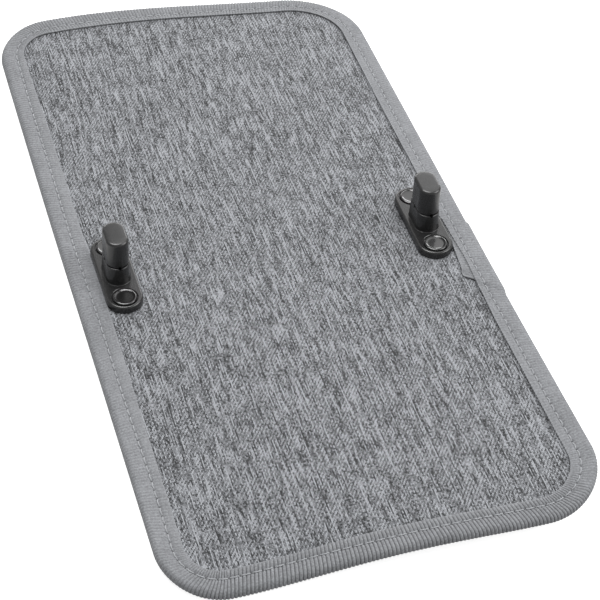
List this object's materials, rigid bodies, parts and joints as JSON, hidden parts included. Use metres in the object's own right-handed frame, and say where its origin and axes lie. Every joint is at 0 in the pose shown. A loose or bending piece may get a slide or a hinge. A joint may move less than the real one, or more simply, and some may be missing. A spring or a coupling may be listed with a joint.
{
  "type": "armrest pad",
  "caption": "Thin rounded rectangular pad in heathered fabric with a stitched tape binding and turn-button fasteners that lock it through oval eyelets.",
  "frame": {"origin": "middle of the bounding box's underside, on the flat back of the binding", "axes": "+Y along the long side, +X across, +Z out of the face that carries the fasteners"},
  "size_m": [0.165, 0.325, 0.0268],
  "materials": {
    "heathered_fabric": "heathered woven, matte",
    "foam": "thin open-cell foam laminate",
    "board": "matte sheet",
    "lining": "plain woven, matte",
    "grosgrain_tape": "ribbed woven tape",
    "thread": "twisted polyester",
    "black_plastic": "moulded, satin",
    "black_rivet": "glossy black enamel",
    "zinc_steel": "zinc plated",
    "spring_steel": "drawn wire"
  },
  "bodies": {
    "panel": {"face_fabric": "heathered_fabric", "foam_layer": "foam", "stiffener_board": "board", "back_lining": "lining", "edge_binding": "grosgrain_tape", "needle_thread": "thread", "bobbin_thread": "thread", "left_base_plate": "black_plastic", "left_spring": "spring_steel", "left_near_rivet": "black_rivet", "left_near_burr_washer": "zinc_steel", "left_far_rivet": "black_rivet", "left_far_burr_washer": "zinc_steel", "right_base_plate": "black_plastic", "right_spring": "spring_steel", "right_near_rivet": "black_rivet", "right_near_burr_washer": "zinc_steel", "right_far_rivet": "black_rivet", "right_far_burr_washer": "zinc_steel"},
    "left_lift": {"left_spring_washer": "zinc_steel"},
    "left_turn": {"left_knob": "black_plastic", "left_spindle_screw": "zinc_steel"},
    "right_lift": {"right_spring_washer": "zinc_steel"},
    "right_turn": {"right_knob": "black_plastic", "right_spindle_screw": "zinc_steel"}
  },
  "joints": [
    {"name": "left_knob_lift", "type": "slide", "parent": "panel", "child": "left_lift", "axis": [0, 0, 1], "range_m": [0, 0.001], "stiffness_N_per_m": 400, "springref_m": -0.001, "deforming": ["left_spring"]},
    {"name": "left_knob_turn", "type": "hinge", "parent": "left_lift", "child": "left_turn", "pos_m": [-0.064, -0.0036, 0.01495], "axis": [0, 0, 1], "range_deg": [-90, 90]},
    {"name": "right_knob_lift", "type": "slide", "parent": "panel", "child": "right_lift", "axis": [0, 0, 1], "range_m": [0, 0.001], "stiffness_N_per_m": 400, "springref_m": -0.001, "deforming": ["right_spring"]},
    {"name": "right_knob_turn", "type": "hinge", "parent": "right_lift", "child": "right_turn", "pos_m": [0.064, -0.0036, 0.01495], "axis": [0, 0, 1], "range_deg": [-90, 90]}
  ]
}
